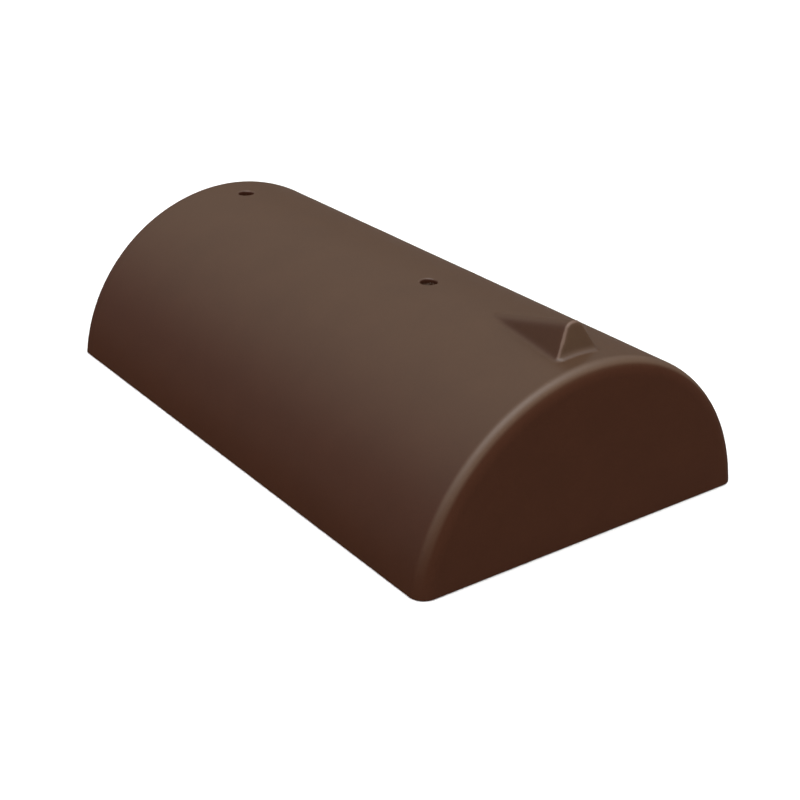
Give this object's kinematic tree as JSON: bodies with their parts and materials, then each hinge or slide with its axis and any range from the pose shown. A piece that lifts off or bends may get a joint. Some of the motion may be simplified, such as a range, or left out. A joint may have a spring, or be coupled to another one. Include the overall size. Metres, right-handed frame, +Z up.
{
  "type": "ridge end tile",
  "caption": "Half-round ridge tile closed at one end, with nail holes along its crown and a wedge-shaped nib near the closed end.",
  "frame": {"origin": "on the plane the feet rest on, in the middle of the tile's length and width", "axes": "+X across the ridge, +Y along the ridge towards the open end, +Z up"},
  "size_m": [0.2496, 0.42, 0.1298],
  "materials": {
    "coated_concrete": "satin"
  },
  "bodies": {
    "root": {"ridge_end_tile": "coated_concrete"}
  },
  "joints": []
}
